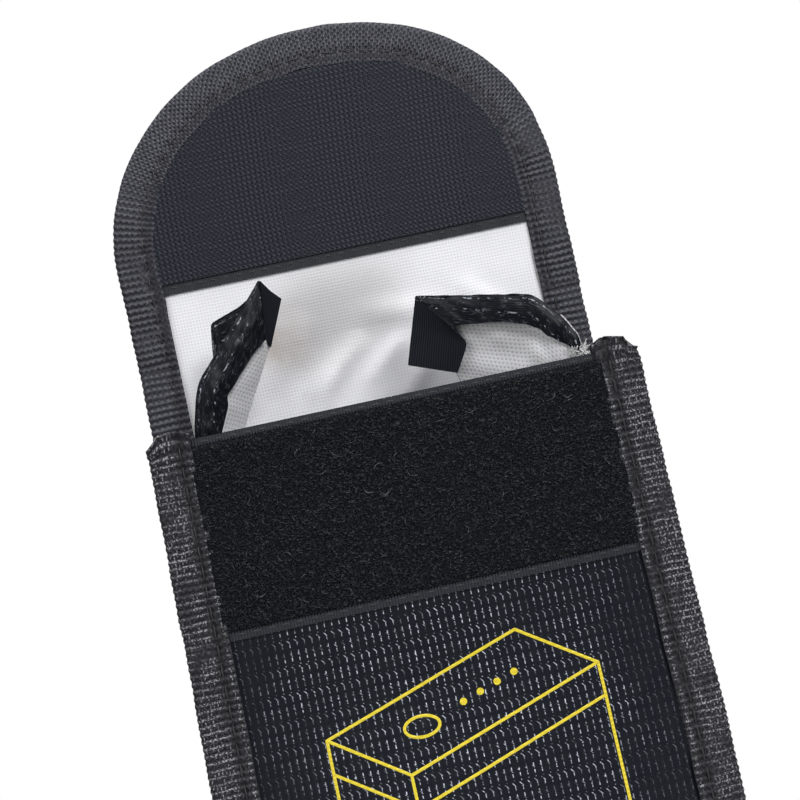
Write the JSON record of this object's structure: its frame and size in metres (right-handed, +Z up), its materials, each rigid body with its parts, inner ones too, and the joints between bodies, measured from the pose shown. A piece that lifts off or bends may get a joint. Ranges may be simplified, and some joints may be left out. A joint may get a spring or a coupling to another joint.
{
  "type": "battery safety pouch",
  "caption": "Upright fire-resistant fabric pouch with bound front and back panels, pleated side and bottom gusset, ear tops and a rounded hook-and-loop flap.",
  "frame": {"origin": "on the ground under the middle of the pouch, which stands on its bottom edge with the flap up", "axes": "+Z up along the pouch towards the flap's tip, -Y out of the front with the closure tape, +X to the right seen from the front"},
  "size_m": [0.09, 0.026, 0.224],
  "materials": {
    "outer_cloth": "glossy blue-black coated woven cloth",
    "lining_cloth": "off-white woven glass cloth",
    "binding_tape": "charcoal plain-weave tape",
    "loop_tape": "fuzzy black loop pile",
    "hook_tape": "navy-black moulded hooks",
    "thread": "black sewing thread",
    "print": "yellow screen print"
  },
  "bodies": {
    "back": {"back_panel": "outer_cloth", "back_lining": "lining_cloth", "back_binding": "binding_tape", "back_binding_thread": "thread"},
    "flap_bridge": {"bridge_panel": "outer_cloth", "bridge_lining": "lining_cloth", "bridge_binding": "binding_tape"},
    "flap_tongue": {"tongue_panel": "outer_cloth", "tongue_lining": "lining_cloth", "tongue_binding": "binding_tape", "tongue_binding_thread": "thread", "hook_strip": "hook_tape", "hook_strip_thread": "thread"},
    "gusset_right_rear": {"gusset_right_rear_panel": "outer_cloth", "gusset_right_rear_lining": "lining_cloth", "gusset_right_rear_ear": "outer_cloth"},
    "gusset_right_front": {"gusset_right_front_panel": "outer_cloth", "gusset_right_front_lining": "lining_cloth", "gusset_right_front_ear": "outer_cloth"},
    "gusset_left_rear": {"gusset_left_rear_panel": "outer_cloth", "gusset_left_rear_lining": "lining_cloth", "gusset_left_rear_ear": "outer_cloth"},
    "gusset_left_front": {"gusset_left_front_panel": "outer_cloth", "gusset_left_front_lining": "lining_cloth", "gusset_left_front_ear": "outer_cloth"},
    "gusset_bottom_rear": {"gusset_bottom_rear_panel": "outer_cloth", "gusset_bottom_rear_lining": "lining_cloth"},
    "gusset_bottom_front": {"gusset_bottom_front_panel": "outer_cloth", "gusset_bottom_front_lining": "lining_cloth"},
    "front": {"front_panel": "outer_cloth", "front_lining": "lining_cloth", "front_binding": "binding_tape", "front_binding_thread": "thread", "loop_strip": "loop_tape", "loop_strip_thread": "thread", "battery_mark": "print"}
  },
  "joints": [
    {"name": "flap_fold", "type": "hinge", "parent": "back", "child": "flap_bridge", "pos_m": [0, 0.01165, 0.1517], "axis": [1, 0, 0], "range_deg": [-30, 90], "deforming": ["gusset_right_rear_ear", "gusset_right_front_ear", "gusset_left_rear_ear", "gusset_left_front_ear"]},
    {"name": "tongue_fold", "type": "hinge", "parent": "flap_bridge", "child": "flap_tongue", "pos_m": [0, 0.01165, 0.178], "axis": [1, 0, 0], "range_deg": [-20, 90]},
    {"name": "pleat_right_rear", "type": "hinge", "parent": "back", "child": "gusset_right_rear", "pos_m": [0.0371, 0.0097, 0.08], "axis": [0, 0, -1], "range_deg": [0, 19]},
    {"name": "pleat_right_crease", "type": "hinge", "parent": "gusset_right_rear", "child": "gusset_right_front", "pos_m": [0.01183, 0.0002, 0.08], "axis": [0, 0, 1], "range_deg": [0, 38]},
    {"name": "pleat_right_front", "type": "hinge", "parent": "gusset_right_front", "child": "front", "pos_m": [0.0371, -0.0093, 0.08], "axis": [0, 0, -1], "range_deg": [0, 19]},
    {"name": "pleat_left_rear", "type": "hinge", "parent": "back", "child": "gusset_left_rear", "pos_m": [-0.0371, 0.0097, 0.08], "axis": [0, 0, 1], "range_deg": [0, 19]},
    {"name": "pleat_left_crease", "type": "hinge", "parent": "gusset_left_rear", "child": "gusset_left_front", "pos_m": [-0.01183, 0.0002, 0.08], "axis": [0, 0, -1], "range_deg": [0, 38]},
    {"name": "pleat_bottom_rear", "type": "hinge", "parent": "back", "child": "gusset_bottom_rear", "pos_m": [0, 0.0097, 0.00815], "axis": [-1, 0, 0], "range_deg": [0, 19]},
    {"name": "pleat_bottom_crease", "type": "hinge", "parent": "gusset_bottom_rear", "child": "gusset_bottom_front", "pos_m": [0, 0.0002, 0.03342], "axis": [1, 0, 0], "range_deg": [0, 38]}
  ],
  "couplings": [
    {"joint": "pleat_right_crease", "follows": "pleat_right_rear", "ratio": 2},
    {"joint": "pleat_right_front", "follows": "pleat_right_rear", "ratio": 1},
    {"joint": "pleat_left_rear", "follows": "pleat_right_rear", "ratio": 1},
    {"joint": "pleat_left_crease", "follows": "pleat_right_rear", "ratio": 2},
    {"joint": "pleat_bottom_rear", "follows": "pleat_right_rear", "ratio": 1},
    {"joint": "pleat_bottom_crease", "follows": "pleat_right_rear", "ratio": 2}
  ]
}
